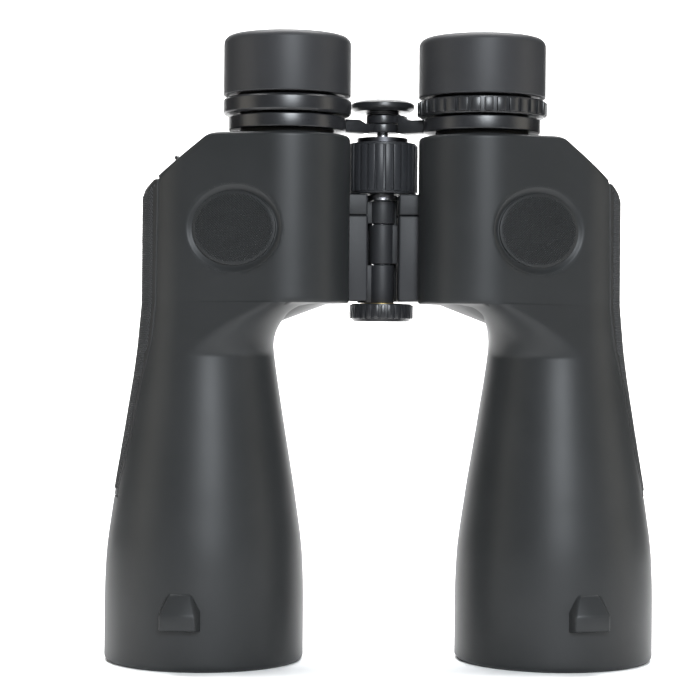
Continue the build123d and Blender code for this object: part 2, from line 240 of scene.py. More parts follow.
class Shader:
    # a material's tree, with one way to add any node
    def __init__(self, name):
        self.material = bpy.data.materials.new(name)
        self.material.use_nodes = True
        self.tree = self.material.node_tree
        self.surface = self.tree.nodes["Principled BSDF"]

    def node(self, kind, settings=(), inputs=(), output=0):
        node = self.tree.nodes.new(kind)
        for key, value in dict(settings).items():
            setattr(node, key, value)
        for key, value in dict(inputs).items():
            plug(self.tree, node.inputs[key], value)
        return Wire(self.tree, node.outputs[output])

    def place(self):
        return self.node("ShaderNodeTexCoord", output="Object")

    def noise(self, scale, detail=3.0, roughness=0.55, stretch=(1, 1, 1), distortion=0.0):
        spot = self.node("ShaderNodeMapping", {}, {"Vector": self.place(), "Scale": stretch})
        return self.node("ShaderNodeTexNoise", {}, {"Vector": spot, "Scale": scale, "Detail": detail,
                                                    "Roughness": roughness, "Distortion": distortion})

    def cells(self, scale):
        return self.node("ShaderNodeTexVoronoi", {"feature": "SMOOTH_F1"},
                         {"Vector": self.place(), "Scale": scale})

    def ramp(self, value, low, high, outLow, outHigh):
        return self.node("ShaderNodeMapRange", {"interpolation_type": "SMOOTHSTEP"},
                         {"Value": value, "From Min": low, "From Max": high,
                          "To Min": outLow, "To Max": outHigh})

    def blendColours(self, factor, first, second):
        node = self.tree.nodes.new("ShaderNodeMix")
        node.data_type = "RGBA"
        plug(self.tree, node.inputs["Factor"], factor)
        plug(self.tree, node.inputs[6], (*first, 1))
        plug(self.tree, node.inputs[7], (*second, 1))
        return Wire(self.tree, node.outputs[2])

    def bump(self, height, strength, distance):
        return self.node("ShaderNodeBump", {},
                         {"Height": height, "Strength": strength, "Distance": distance * mm})

    def set(self, **sockets):
        for key, value in sockets.items():
            plug(self.tree, self.surface.inputs[key.replace("_", " ")], value)
        return self.material


def mouldedFinish(name, look):
    # rubber, plastic or paint: fine grain, slow blotches, and the odd smear of handling
    shader = Shader(name)
    grain = shader.noise(look["grain"], 4.0, 0.6)
    pebble = shader.cells(look["pebble"])
    blotch = shader.noise(look.get("blotch", 28.0), 5.0, 0.6, distortion=0.4)
    smear = shader.noise(9.0, 3.0, 0.5, stretch=(1.0, 1.0, 0.35), distortion=0.8)
    mix = shader.ramp(blotch, 0.3, 0.72, 0.0, 1.0)
    colour = shader.blendColours(mix, look["dark"], look["light"])
    handled = shader.ramp(smear, 0.42, 0.68, -look["polish"], look["polish"])
    roughness = look["roughness"] + handled + (grain - 0.5) * look["grainGloss"]
    height = grain * 0.6 + pebble * 0.4
    normal = shader.bump(height, look["bump"], look["depth"])
    return shader.set(Base_Color=colour, Roughness=roughness, Normal=normal,
                      Specular_IOR_Level=look["specular"])


def metalFinish(name, look):
    shader = Shader(name)
    brushed = shader.noise(look["brush"], 3.0, 0.6, stretch=look["stretch"])
    cloud = shader.noise(60.0, 3.0, 0.5)
    colour = shader.blendColours(shader.ramp(cloud, 0.3, 0.7, 0.0, 1.0), look["dark"], look["light"])
    roughness = look["roughness"] + (brushed - 0.5) * 0.16 + (cloud - 0.5) * 0.08
    normal = shader.bump(brushed, look["bump"], 0.02)
    return shader.set(Base_Color=colour, Roughness=roughness, Metallic=1.0, Normal=normal)


def glassFinish(name, look):
    # polished glass with a thin coloured coating and a trace of dust
    shader = Shader(name)
    dust = shader.noise(900.0, 2.0, 0.5)
    speck = shader.ramp(dust, 0.66, 0.78, 0.0, 1.0)
    colour = shader.blendColours(speck, look["tint"], look["dust"])
    roughness = 0.03 + speck * 0.25
    shader.surface.inputs["Transmission Weight"].default_value = look["clear"]
    shader.surface.inputs["IOR"].default_value = look["index"]
    shader.surface.inputs["Specular Tint"].default_value = (*look["coating"], 1)
    return shader.set(Base_Color=colour, Roughness=roughness)


armourLook = {"grain": 3600.0, "pebble": 2600.0,
              "dark": (0.0138, 0.0148, 0.0155), "light": (0.0172, 0.0182, 0.0190),
              "roughness": 0.46, "polish": 0.035, "grainGloss": 0.14, "bump": 0.30, "depth": 0.045,
              "specular": 0.22}
cupLook = dict(armourLook, dark=(0.019, 0.0195, 0.021), light=(0.0235, 0.024, 0.026),
               roughness=0.50, bump=0.2)
padLook = dict(armourLook, dark=(0.0145, 0.0148, 0.0152), light=(0.0185, 0.0188, 0.0192), roughness=0.55)
wheelLook = dict(armourLook, dark=(0.017, 0.0178, 0.0198), light=(0.022, 0.023, 0.0255),
                 roughness=0.40, bump=0.2)
satinLook = dict(armourLook, dark=(0.011, 0.0113, 0.0125), light=(0.0145, 0.015, 0.0165),
                 roughness=0.34, bump=0.16, depth=0.03, specular=0.42)
enamelLook = dict(armourLook, dark=(0.012, 0.0125, 0.0135), light=(0.0155, 0.016, 0.018), roughness=0.33,
                  grain=1500.0, pebble=900.0, bump=0.12, depth=0.04, specular=0.42)
innerLook = dict(armourLook, dark=(0.008, 0.008, 0.008), light=(0.012, 0.012, 0.012),
                 roughness=0.72, specular=0.3)
steelLook = {"brush": 900.0, "stretch": (1, 1, 14), "dark": (0.38, 0.38, 0.40), "light": (0.5, 0.5, 0.52),
             "roughness": 0.32, "bump": 0.15}
hubLook = dict(steelLook, dark=(0.05, 0.05, 0.055), light=(0.07, 0.07, 0.075), roughness=0.38)
brassLook = dict(steelLook, dark=(0.55, 0.42, 0.18), light=(0.68, 0.52, 0.25), roughness=0.3)
lensLook = {"tint": (0.93, 0.97, 0.96), "dust": (0.75, 0.75, 0.73), "coating": (0.45, 0.35, 1.0),
            "clear": 1.0, "index": 1.52}
prismLook = dict(lensLook, coating=(1.0, 1.0, 1.0), index=1.57)

finishes = {
    "armour_rubber": mouldedFinish("armourRubber", armourLook),
    "grip_rubber": mouldedFinish("gripRubber", padLook),
    "eyecup_rubber": mouldedFinish("eyecupRubber", cupLook),
    "wheel_rubber": mouldedFinish("wheelRubber", wheelLook),
    "satin_black": mouldedFinish("satinBlack", satinLook),
    "bridge_enamel": mouldedFinish("bridgeEnamel", enamelLook),
    "casting_paint": mouldedFinish("castingPaint", dict(enamelLook, roughness=0.55, specular=0.3)),
    "lug_metal": mouldedFinish("lugLacquer", dict(enamelLook, roughness=0.28)),
    "inner_black": mouldedFinish("innerBlack", innerLook),
    "spring_steel": metalFinish("springSteel", steelLook),
    "wheel_metal": metalFinish("anodisedHub", hubLook),
    "socket_brass": metalFinish("socketBrass", brassLook),
    "coated_glass": glassFinish("coatedGlass", lensLook),
    "prism_glass": glassFinish("prismGlass", prismLook),
}
for part in frame["record"]["subparts"]:
    node = frame["nodes"][part["node"]]
    node.data.materials.clear()
    node.data.materials.append(finishes[part["material_slot"]])
print("finishes made:", len(finishes))

# the body's form

form = {
    "rim": 33.35, "rimRound": 2.2, "hem": 2.4,
    "profile": [(0.0, 33.35), (20.0, 33.35), (33.5, 32.95), (53.8, 30.5), (81.0, 26.15), (103.0, 22.9),
                (119.5, 21.4)],
    "eyeSide": 21.0, "objectiveSide": 21.4, "turnSide": 19.0,
    "bottom": 119.5, "edge": 1.1, "fillet": 15.5, "scallopEnd": 102.0,
    "shoulder": (57.9, 175.0), "shoulderEnd": (79.9, 157.5), "shoulderSoft": 0.9,
    "topEdge": 1.4, "hole": 17.75, "columns": 220, "panelColumns": 44, "skin": 1.4,
    "innerLevels": [160.0, 150.0, 121.2, 120.9, 112.0, 104.0, 96.0, 81.0, 67.0, 53.8, 40.0, 28.0, 10.0],
}
form["top"] = topOf("right_armour")
panel = {
    "border": [(54.6, 87.6), (58.5, 87.3), (68.0, 84.6), (92.0, 80.0), (107.0, 76.4), (119.0, 75.2),
               (168.0, 74.6)],
    "low": 54.8, "top": 161.2, "gap": 0.45, "pocket": 1.2, "proud": 0.05,
}
pad = {"x": 49.9, "z": 143.6, "wide": 13.5, "high": 12.0, "moatWide": 15.7, "moatHigh": 14.6, "depth": 0.85,
       "under": 1.5}
sweep = np.linspace(0, 2 * math.pi, 1440, endpoint=False)
away = Vector((eye.x - objective.x, eye.y - objective.y))
span = away.length
along = away.normalized()
facing = Vector((-along.y, along.x))         # out of the flat near side of the housing
profileZ, profileR = zip(*form["profile"])


def smoothCurve(xs, ys):
    # monotone cubic through a few points, so that the barrel has no kinks
    xs, ys = np.array(xs, float), np.array(ys, float)
    step = np.diff(ys) / np.diff(xs)
    slope = np.zeros(len(xs))
    for i in range(1, len(xs) - 1):
        if step[i - 1] * step[i] > 0:
            slope[i] = 2 * step[i - 1] * step[i] / (step[i - 1] + step[i])
    slope[-1] = step[-1]

    def value(x):
        x = min(max(x, xs[0]), xs[-1])
        i = min(max(int(np.searchsorted(xs, x)) - 1, 0), len(xs) - 2)
        h = xs[i + 1] - xs[i]
        t = (x - xs[i]) / h
        a, b = 2 * t ** 3 - 3 * t ** 2 + 1, t ** 3 - 2 * t ** 2 + t
        c, d = -2 * t ** 3 + 3 * t ** 2, t ** 3 - t ** 2
        return a * ys[i] + b * h * slope[i] + c * ys[i + 1] + d * h * slope[i + 1]
    return value


barrelRadius = smoothCurve(profileZ, profileR)


def circlesAt(z, inset=0.0):
    # the rounds that the body's outline is stretched over at a height, about the objective axis
    own = (0.0, 0.0, barrelRadius(z) - inset)
    turnX, turnY = lightTurn.x - objective.x, lightTurn.y - objective.y
    if z >= form["bottom"]:
        return [own, (turnX, turnY, form["turnSide"] - inset), (away.x, away.y, form["eyeSide"] - inset)]
    if z <= form["scallopEnd"]:
        return [own]
    drop = ((z - form["scallopEnd"]) / (form["bottom"] - form["scallopEnd"])) ** 1.35
    foot = form["bottom"] - form["fillet"]
    rise = max(0.0, (z - foot) / form["fillet"])
    bulge = (1 - math.sqrt(max(0.0, 1 - rise ** 2)))
    silhouette = 15.5 * bulge
    reach = span * drop
    lean = 1 + facing.x
    small = own[2] + inset - (abs(along.x) * reach - silhouette) / lean
    small = max(small, 6.0)
    start = facing * (own[2] + inset - small) + along * reach
    back = 0.5 * bulge
    return [own, (turnX * back, turnY * back, own[2] - 2.4 * back), (start.x, start.y, small - inset)]


def reachAlong(circles, angles):
    # how far the stretched outline is from the objective axis in each direction
    support = np.max([cx * np.cos(sweep) + cy * np.sin(sweep) + r for cx, cy, r in circles], axis=0)
    facingUs = np.cos(sweep[None, :] - np.asarray(angles)[:, None])
    reach = np.where(facingUs > 0.03, support[None, :] / np.maximum(facingUs, 0.03), 1e6)
    return reach.min(axis=1)


def softLess(a, b, soft):
    # the lesser of two, with the corner between them eased
    gap = np.clip(0.5 + 0.5 * (b - a) / soft, 0, 1)
    return b * (1 - gap) + a * gap - soft * gap * (1 - gap)


def shoulderX(z, inset=0.0):
    # how far out the sloping shoulder lets the body reach at a height
    (x0, z0), (x1, z1) = form["shoulder"], form["shoulderEnd"]
    slope = (x1 - x0) / (z0 - z1)
    return x0 + (z0 - z) * slope - inset * math.hypot(1, slope)


def outlineReach(z, angles, inset=0.0):
    return reachAlong(circlesAt(z, inset), angles)


# columns of the body's grid: even along the housing's outline, with the side panel's border as two of them
denseAngles = np.linspace(-math.pi, math.pi, 2881)
denseReach = reachAlong(circlesAt(140.0), denseAngles)
denseX, denseY = denseReach * np.cos(denseAngles), denseReach * np.sin(denseAngles)
walked = np.concatenate([[0], np.cumsum(np.hypot(np.diff(denseX), np.diff(denseY)))])
borderZ, borderX = zip(*panel["border"])


def borderAngle(z):
    x = np.interp(min(z, 160.0), borderZ, borderX) - objective.x
    return math.acos(min(0.985, x / barrelRadius(max(z, borderZ[0]))))


def columnAngles(z):
    edge = borderAngle(z)
    tuck = 0.04 / barrelRadius(z)
    between = np.linspace(-edge + tuck, edge - tuck, form["panelColumns"] - 2)
    inner = np.concatenate([[-edge], between, [edge]])
    start = np.interp(edge, denseAngles, walked)
    stop = np.interp(-edge, denseAngles, walked) + walked[-1]
    rest = np.linspace(start, stop, form["columns"] + 2)[1:-1]
    rest = np.where(rest > walked[-1], rest - walked[-1], rest)
    return np.concatenate([inner, np.interp(rest, walked, denseAngles)])


def ringPoints(z, angles, reach, inset=0.0):
    x = objective.x + np.asarray(reach) * np.cos(angles)
    y = objective.y + np.asarray(reach) * np.sin(angles)
    if z > 140:
        x = softLess(x, np.full(len(x), shoulderX(z, inset)), form["shoulderSoft"] * 3)
    return [(float(a), float(b), z) for a, b in zip(x, y)]


def padHollow(points):
    # the body is let in behind the thumb pad, which is a piece of its own
    out = []
    wide, high = pad["moatWide"] - 0.3, pad["moatHigh"] - 0.3
    for x, y, z in points:
        spread = math.hypot((x - pad["x"]) / wide, (z - pad["z"]) / high)
        if spread < 1.0 and y < objective.y - 10:
            sink = pad["under"] * min(1.0, (1.0 - spread) * 9)
            x, y = x - facing.x * sink, y - facing.y * sink
        out.append((x, y, z))
    return out


def bodyLevels():
    # (height, inset) pairs from the rim to the top edge
    levels = [(form["rimRound"] * (1 - math.cos(math.pi / 2 * k / 6)),
               form["rimRound"] * (1 - math.sin(math.pi / 2 * k / 6))) for k in range(7)]
    levels += [(z, 0.0) for z in np.arange(4.0, panel["low"] - 0.2, 2.0)]
    levels += [(panel["low"] - 0.03, 0.0), (panel["low"] + 0.03, 0.0)]
    levels += [(z, 0.0) for z in np.arange(panel["low"] + 1.6, form["scallopEnd"], 1.8)]
    levels += [(z, 0.0) for z in np.arange(form["scallopEnd"], form["bottom"] - 0.4, 0.75)]
    return levels


def bodyShape():
    rows = []
    panelCount = form["panelColumns"]

    def addRow(z, inset=0.0, reach=None):
        angles = columnAngles(z)
        if reach is None:
            reach = outlineReach(z, angles, inset)
        sunk = np.array(reach, float)
        if panel["low"] < z < panel["top"]:
            sunk[1:panelCount - 1] -= panel["pocket"]
        pocketed = ringPoints(z, angles, sunk, inset)
        if 150 < z < panel["top"]:
            deep = ringPoints(z, angles, sunk, inset + panel["pocket"])
            pocketed[1:panelCount - 1] = deep[1:panelCount - 1]
        rows.append(padHollow(pocketed))

    for z, inset in bodyLevels():
        addRow(z, inset)
    bottom, edge = form["bottom"], form["edge"]
    under = bottom - 0.001
    angles = columnAngles(bottom)
    upper, lower = outlineReach(bottom, angles), outlineReach(under, angles)
    addRow(bottom, reach=lower)
    for k in range(6):
        turn = math.pi / 2 * k / 5
        rounding = edge * (1 - math.sin(turn))
        reach = np.maximum(upper - rounding, np.minimum(upper, lower))
        addRow(bottom + edge * (1 - math.cos(turn)), reach=reach)
    shoulderZ = form["shoulderEnd"][1] - 2.5
    for z in np.arange(bottom + edge + 0.9, shoulderZ, 1.3):
        addRow(z)
    topEdge, top = form["topEdge"], form["top"]
    for z in np.arange(shoulderZ, top - topEdge, 0.7):
        addRow(z)
    for k in range(7):
        turn = math.pi / 2 * k / 6
        addRow(top - topEdge * (1 - math.sin(turn)), topEdge * (1 - math.cos(turn)))
    count = len(rows[0])
    # the top runs in to the hole for the eyepiece guide, and then down and back inside the skin
    holeR = form["hole"]
    edgeRow = rows[-1]
    spokes = [math.atan2(y - eye.y, x - eye.x) for x, y, z in edgeRow]
    holeRow = [(eye.x + holeR * math.cos(a), eye.y + holeR * math.sin(a)) for a in spokes]
    for part in (0.5, 1.0):
        rows.append([(p[0] + (h[0] - p[0]) * part, p[1] + (h[1] - p[1]) * part, top)
                     for p, h in zip(edgeRow, holeRow)])
    skin = form["skin"]
    rows.append([(x, y, top - skin) for x, y in holeRow])
    for z in [top - skin - 0.01] + form["innerLevels"]:
        angles = columnAngles(z)
        deeper = skin + (1.6 if panel["low"] - 2 < z < 170 else 0.2)
        rows.append(ringPoints(z, angles, outlineReach(z, angles, deeper), deeper))
    mouthR = lowHigh("right_objective_ring")[1].x - objective.x
    angles = columnAngles(form["hem"])
    mouth = ((form["hem"], barrelRadius(0) - skin), (form["hem"], mouthR), (0.5, mouthR), (0.0, mouthR + 0.5))
    for z, r in mouth:
        rows.append(ringPoints(z, angles, np.full(len(angles), r)))
    points = [p for row in rows for p in row]
    faces = []
    for i in range(len(rows)):
        a, b = i * count, (i + 1) % len(rows) * count
        for j in range(count):
            k = (j + 1) % count
            faces.append((a + j, a + k, b + k, b + j))
    return points, faces


def panelShape():
    # a sheet that fills the side pocket with a small gap all round
    rows = []
    levels = [panel["low"] + panel["gap"], panel["low"] + panel["gap"] + 0.25]
    levels += list(np.arange(panel["low"] + 1.8, form["shoulderEnd"][1] - 1, 1.3))
    levels += list(np.arange(form["shoulderEnd"][1] - 1, 160.6, 0.6))
    for i, z in enumerate(levels):
        edge = borderAngle(z) - panel["gap"] / barrelRadius(z)
        ease = 0.3 / barrelRadius(z)
        angles = np.concatenate([[-edge], np.linspace(-edge + ease, edge - ease, 40), [edge]])
        lift = np.full(len(angles), panel["proud"])
        lift[0] = lift[-1] = -0.3
        if i == 0:
            lift -= 0.3
        outer = ringPoints(z, angles, outlineReach(z, angles) + lift, -lift)
        under = panel["pocket"] - 0.15
        inner = ringPoints(z, angles, outlineReach(z, angles) - under, under)
        rows.append(outer + inner[::-1])
    count = len(rows[0])
    points = [p for row in rows for p in row]
    faces = []
    for i in range(len(rows) - 1):
        for j in range(count):
            k = (j + 1) % count
            faces.append((i * count + j, i * count + k, (i + 1) * count + k, (i + 1) * count + j))
    half = count // 2
    for base in (0, (len(rows) - 1) * count):
        last = base + count - 1
        faces += [(base + j, base + j + 1, last - 1 - j, last - j) for j in range(half - 1)]
    return points, faces


def nearSide(x):
    # the housing's near side at a distance from the hinge
    circles = circlesAt(pad["z"])
    angles = sweep[np.sin(sweep) < -0.05]
    support = np.max([cx * np.cos(angles) + cy * np.sin(angles) + r for cx, cy, r in circles], axis=0)
    return objective.y + ((support - (x - objective.x) * np.cos(angles)) / np.sin(angles)).max()


def padShape():
    # the disc, then its soft moat, as rings of one patch laid on the housing
    rings = [(k / 9 * 0.985, 0.0, 0) for k in range(1, 10)] + [(0.996, -0.04, 0), (1.0, -0.16, 0)]
    rings += [(0.0, -pad["depth"] * 0.93, 1), (0.10, -pad["depth"], 1)]
    for k in range(1, 11):
        t = k / 10
        rings.append((0.1 + 0.9 * t, -pad["depth"] * (1 - t * t * (3 - 2 * t)) + 0.035 * t, 1))
    rings += [(1.03, -0.25, 1)]
    steps = 128
    points = []

    def spot(reachX, reachZ, angle, lift):
        x, z = pad["x"] + reachX * math.cos(angle), pad["z"] + reachZ * math.sin(angle)
        return (x + facing.x * lift, nearSide(x) + facing.y * lift, z)

    for out, lift, moat in rings:
        wide = pad["wide"] * out if not moat else pad["wide"] + (pad["moatWide"] - pad["wide"]) * out
        high = pad["high"] * out if not moat else pad["high"] + (pad["moatHigh"] - pad["high"]) * out
        points += [spot(wide, high, 2 * math.pi * s / steps, lift) for s in range(steps)]
    for out in (0.9, 0.4):
        points += [spot(pad["moatWide"] * out, pad["moatHigh"] * out, 2 * math.pi * s / steps, -1.4)
                   for s in range(steps)]
    total = len(points) // steps
    faces = []
    for i in range(total - 1):
        for s in range(steps):
            t = (s + 1) % steps
            faces.append((i * steps + s, i * steps + t, (i + 1) * steps + t, (i + 1) * steps + s))
    points += [spot(0, 0, 0, 0.0), spot(0, 0, 0, -1.4)]
    front, backPoint = len(points) - 2, len(points) - 1
    last = (total - 1) * steps
    for s in range(steps):
        t = (s + 1) % steps
        faces += [(front, t, s), (backPoint, last + s, last + t)]
    return points, faces


# the wedge on the hood that stops the rim from rolling
tab = {"turn": 12.5, "front": 36.8, "slope": 33.7, "root": 31.8, "bottom": 13.7, "ridge": 19.0, "top": 25.1,
       "half": 5.9, "topHalf": 3.2, "flare": 1.2}


def tabShape():
    front, slope, root = -tab["front"], -tab["slope"], -tab["root"]
    half, topHalf, flare = tab["half"], tab["topHalf"], tab["flare"]
    bottom, ridge, top = tab["bottom"], tab["ridge"], tab["top"]
    corners = []
    for s in (-1, 1):
        corners += [(s * half, front, bottom + 0.3), (s * half, front, ridge), (s * topHalf, slope, top)]
        corners += [(s * (half + 1.0), root, bottom - 0.5), (s * (half + 1.0), root, ridge + flare),
                    (s * (topHalf + 0.7), root, top + flare)]
    turn = Matrix.Rotation(math.radians(tab["turn"]), 4, "Z")
    return moved(softHull(corners, 0.55, 3), Matrix.Translation((objective.x, objective.y, 0)) @ turn)


body, side, thumb = bodyShape(), panelShape(), padShape()
for name, sign in sides.items():
    home = name + "_half"
    addPiece(name + "ArmourSkin", merged(body, tabShape()), "armour_rubber", home,
             [name + "_armour", name + "_barrel_sleeve"], sign)
    addPiece(name + "SideGrip", side, "grip_rubber", home, [name + "_grip_panel"], sign)
    addPiece(name + "ThumbRest", thumb, "armour_rubber", home, [name + "_thumb_pad"], sign)
print("bodies made:", len(body[1]), "faces each")

# eyepieces

cup = {"outer": 21.15, "lip": 15.4, "seat": 19.3, "roof": 204.8, "rimRound": 3.0}
head = {"bore": 12.3, "guide": 15.45, "neckTop": 188.1, "drum": 16.5, "drumTop": 199.0, "dishTop": 199.6,
        "dishR": 11.1, "seat": 192.4}
lenses = {"eye": {"outer": 10.95, "low": 193.2, "high": 195.4, "dome": 1.5, "dip": 0.8},
          "front": {"outer": 29.3, "low": 15.8, "high": 18.8, "dome": 1.3, "dip": 2.3}}


def cupShape():
    low, high = floorOf("right_eyecup"), topOf("right_eyecup")
    corners = [(cup["seat"], low), (cup["outer"], low), (cup["outer"], high), (cup["lip"], high),
               (cup["lip"], cup["roof"]), (cup["seat"], cup["roof"])]
    return turned(rounded(corners, [0.15, 0.5, cup["rimRound"], 1.8, 0.5, 0.2], 8), eye, 128)


def headShape():
    # the ocular's black head: a dished top that runs in to the eye lens
    low, top, dish, seat = floorOf("right_ocular_barrel"), head["dishTop"], head["dishR"], head["seat"]
    outline = [(head["bore"], low), (head["guide"], low), (head["guide"], head["neckTop"]),
               (head["drum"], head["neckTop"]), (head["drum"], head["drumTop"]), (15.2, top), (13.6, top - 1.0),
               (dish, top - 2.7), (dish, seat), (head["bore"], seat - 1.0)]
    return turned(rounded(outline, [0.1, 0.3, 0.05, 0.2, 0.5, 0.4, 0.5, 0.3, 0.2, 0.2], 3), eye)


def lensShape(lens, at, steps, rings=10):
    # both faces bulge, the upper by dome and the lower by dip
    outer, low, high = lens["outer"], lens["low"], lens["high"]
    outline = [(outer, low), (outer, high)]
    for k in range(1, rings):
        r = outer * (1 - k / rings)
        outline.append((r, high + lens["dome"] * (1 - (r / outer) ** 2)))
    outline.append((poleR, high + lens["dome"]))
    for k in range(rings):
        r = outer * k / rings + (poleR if k == 0 else 0)
        outline.append((r, low - lens["dip"] * (1 - (r / outer) ** 2)))
    return turned(outline, at, steps)


for name, sign in sides.items():
    ocular = "left_ocular" if name == "left" else "right_eyepiece"
    eyeLens = lensShape(lenses["eye"], eye, 96)
    frontLens = lensShape(lenses["front"], objective, 128)
    addPiece(name + "RubberCup", cupShape(), "eyecup_rubber", name + "_cup", [name + "_eyecup"], sign)
    addPiece(name + "OcularHead", headShape(), "inner_black", ocular, [name + "_ocular_barrel"], sign)
    addPiece(name + "EyeLens", eyeLens, "coated_glass", ocular, [name + "_eye_lens"], sign)
    addPiece(name + "FrontLens", frontLens, "coated_glass", name + "_half", [name + "_objective_crown"], sign)
print("eyepieces made")

# ribs, teeth and studs, by Geometry Nodes


def groupTree(name, inputs):
    tree = bpy.data.node_groups.new(name, "GeometryNodeTree")
    tree.interface.new_socket("Geometry", in_out="INPUT", socket_type="NodeSocketGeometry")
    for label, kind in inputs.items():
        tree.interface.new_socket(label, in_out="INPUT", socket_type="NodeSocket" + kind)
    tree.interface.new_socket("Geometry", in_out="OUTPUT", socket_type="NodeSocketGeometry")
    return tree


def addNode(tree, kind, settings=(), links=()):
    node = tree.nodes.new(kind)
    for key, value in dict(settings).items():
        if hasattr(node, key):
            setattr(node, key, value)
        else:
            node.inputs[key].default_value = value
    for key, source in dict(links).items():
        tree.links.new(source, node.inputs[key])
    return node


def finishTree(tree, source, material):
    realised = addNode(tree, "GeometryNodeRealizeInstances", links={"Geometry": source})
    painted = addNode(tree, "GeometryNodeSetMaterial",
                      links={"Geometry": realised.outputs[0], "Material": material})
    tree.links.new(painted.outputs[0], addNode(tree, "NodeGroupOutput").inputs[0])


def teethTree():
    # teeth spaced evenly round a vertical axis, joined to the ring that they stand on
    tree = groupTree("teethRoundAxis", {"Tooth": "Object", "Count": "Int", "Radius": "Float",
                                        "Centre": "Vector", "Material": "Material"})
    given = addNode(tree, "NodeGroupInput").outputs
    circle = addNode(tree, "GeometryNodeMeshCircle",
                     links={"Vertices": given["Count"], "Radius": given["Radius"]})
    index = addNode(tree, "GeometryNodeInputIndex")
    share = addNode(tree, "ShaderNodeMath", {"operation": "DIVIDE"})
    tree.links.new(index.outputs[0], share.inputs[0])
    tree.links.new(given["Count"], share.inputs[1])
    angle = addNode(tree, "ShaderNodeMath", {"operation": "MULTIPLY"}, {0: share.outputs[0]})
    angle.inputs[1].default_value = 2 * math.pi
    turn = addNode(tree, "ShaderNodeCombineXYZ", links={"Z": angle.outputs[0]})
    tooth = addNode(tree, "GeometryNodeObjectInfo", links={"Object": given["Tooth"]})
    row = addNode(tree, "GeometryNodeInstanceOnPoints",
                  links={"Points": circle.outputs[0], "Instance": tooth.outputs["Geometry"],
                         "Rotation": turn.outputs[0]})
    placed = addNode(tree, "GeometryNodeTransform", links={"Geometry": row.outputs[0],
                                                           "Translation": given["Centre"]})
    both = addNode(tree, "GeometryNodeJoinGeometry")
    tree.links.new(given["Geometry"], both.inputs[0])
    tree.links.new(placed.outputs[0], both.inputs[0])
    finishTree(tree, both.outputs[0], given["Material"])
    return tree


def studsTree():
    # a small stud on every point, standing along the point's own direction, its size slightly uneven
    tree = groupTree("studsOnPoints", {"Stud": "Object", "Unevenness": "Float", "Seed": "Int",
                                       "Material": "Material"})
    given = addNode(tree, "NodeGroupInput").outputs
    outward = addNode(tree, "GeometryNodeInputNamedAttribute",
                      {"data_type": "FLOAT_VECTOR", "Name": "outward"})
    aligned = addNode(tree, "FunctionNodeAlignRotationToVector", {"axis": "Z"},
                      {"Vector": outward.outputs[0]})
    stud = addNode(tree, "GeometryNodeObjectInfo", links={"Object": given["Stud"]})
    least = addNode(tree, "ShaderNodeMath", {"operation": "SUBTRACT"}, {1: given["Unevenness"]})
    least.inputs[0].default_value = 1.0
    size = addNode(tree, "FunctionNodeRandomValue", {"data_type": "FLOAT"},
                   {2: least.outputs[0], "Seed": given["Seed"]})
    size.inputs[3].default_value = 1.0
    row = addNode(tree, "GeometryNodeInstanceOnPoints",
                  links={"Points": given["Geometry"], "Instance": stud.outputs["Geometry"],
                         "Rotation": aligned.outputs[0], "Scale": size.outputs[1]})
    finishTree(tree, row.outputs[0], given["Material"])
    return tree


def grown(piece, tree, values, helper):
    # runs the tree once and leaves a plain mesh behind
    modifier = piece.modifiers.new("grown", "NODES")
    modifier.node_group = tree
    for item in tree.interface.items_tree:
        if item.in_out == "INPUT" and item.name in values:
            modifier[item.identifier] = values[item.name]
    bpy.context.view_layer.update()
    result = bpy.data.meshes.new_from_object(piece.evaluated_get(bpy.context.evaluated_depsgraph_get()))
    piece.modifiers.remove(modifier)
    piece.data = result
    bpy.data.objects.remove(helper)
    result.shade_smooth()
    result.set_sharp_from_angle(angle=math.radians(38))


teeth, studs = teethTree(), studsTree()


def toothed(name, base, at, settings, slot, body, replaces):
    half, finish = settings["width"] / 2, finishes[slot]
    block = softBlock((-settings["depth"] - 0.4, -half, settings["low"]), (0, half, settings["high"]),
                      settings["soft"], 2)
    tooth = meshObject(name + "Tooth", block, finish)
    piece = meshObject(name, base, finish)
    grown(piece, teeth, {"Tooth": tooth, "Count": settings["count"], "Radius": settings["radius"] * mm,
                         "Centre": (at.x * mm, at.y * mm, 0), "Material": finish}, tooth)
    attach(piece, body)
    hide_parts(replaces)


wheel = {"count": 26, "radius": lowHigh("wheel_grip")[1].x, "depth": 0.75, "width": 2.2, "soft": 0.25,
         "low": floorOf("wheel_grip") + 0.7, "high": topOf("wheel_grip") - 0.7}
dioptre = {"count": 32, "radius": 21.6, "depth": 0.8, "width": 2.9, "soft": 0.3,
           "low": floorOf("right_dioptre_ring") + 0.5, "high": topOf("right_dioptre_ring") - 0.5}
cover = {"count": 28, "radius": 10.8, "depth": 0.6, "width": 1.5, "soft": 0.2,
         "low": floorOf("tripod_cap") + 1.0, "high": floorOf("tripod_cap") + 5.6}


def wheelBase():
    low, high = floorOf("wheel_grip"), topOf("wheel_grip")
    r = wheel["radius"] - wheel["depth"]
    rim = wheel["radius"] - 0.5
    corners = [(8.6, low), (rim, low), (rim, low + 1.0), (r, low + 1.3), (r, high - 1.3), (rim, high - 1.0),
               (rim, high), (8.6, high)]
    return turned(rounded(corners, [0.1, 0.3, 0.2, 0.2, 0.2, 0.2, 0.4, 0.2], 3), hinge, 104)


def coverBase():
    low = floorOf("tripod_cap")
    corners = [(poleR, low), (9.2, low), (10.2, low + 1.2), (10.2, low + 6.0), (7.3, low + 6.0),
               (7.3, low + 1.4), (poleR, low + 1.4)]
    return turned(rounded(corners, [0, 0.4, 0.4, 0.3, 0.2, 0.2, 0], 3), hinge, 104)


def dioptreBase():
    low, high = floorOf("right_dioptre_ring"), topOf("right_dioptre_ring")
    return ring(dioptre["radius"] - dioptre["depth"], 15.55, low, high, eye)


